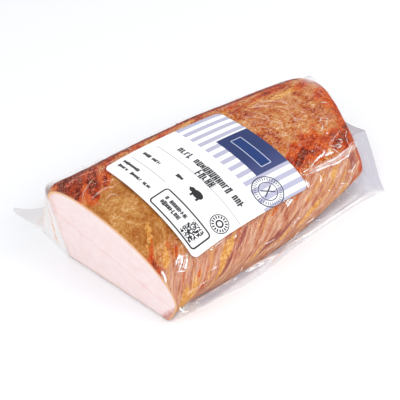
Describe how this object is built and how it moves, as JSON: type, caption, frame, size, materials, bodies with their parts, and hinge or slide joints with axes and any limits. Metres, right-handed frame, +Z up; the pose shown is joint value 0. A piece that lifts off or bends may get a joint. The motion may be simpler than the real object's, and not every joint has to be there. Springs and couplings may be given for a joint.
{
  "type": "pack of smoked pork loin",
  "caption": "Half of a smoked, cooked pork loin shrunk into a clear film pouch with flat sealed edges, lying on its flat side, with a white, striped paper label on top.",
  "frame": {"origin": "middle of the pack's footprint, on the surface it lies on", "axes": "+X along the joint from the cut face to the far end, +Y towards the pack's back edge, +Z up"},
  "size_m": [0.2448, 0.173, 0.056],
  "materials": {
    "film": "thin clear shrink film, glossy, with small creases",
    "smoked_loin": "golden to red-brown smoked surface, pale pink where it is cut, wet under the film",
    "label_paper": "smooth white label with lavender stripes, a navy panel and thin dark marks"
  },
  "bodies": {
    "root": {"sealed_bag": "smoked_loin", "label": "label_paper"}
  },
  "joints": []
}
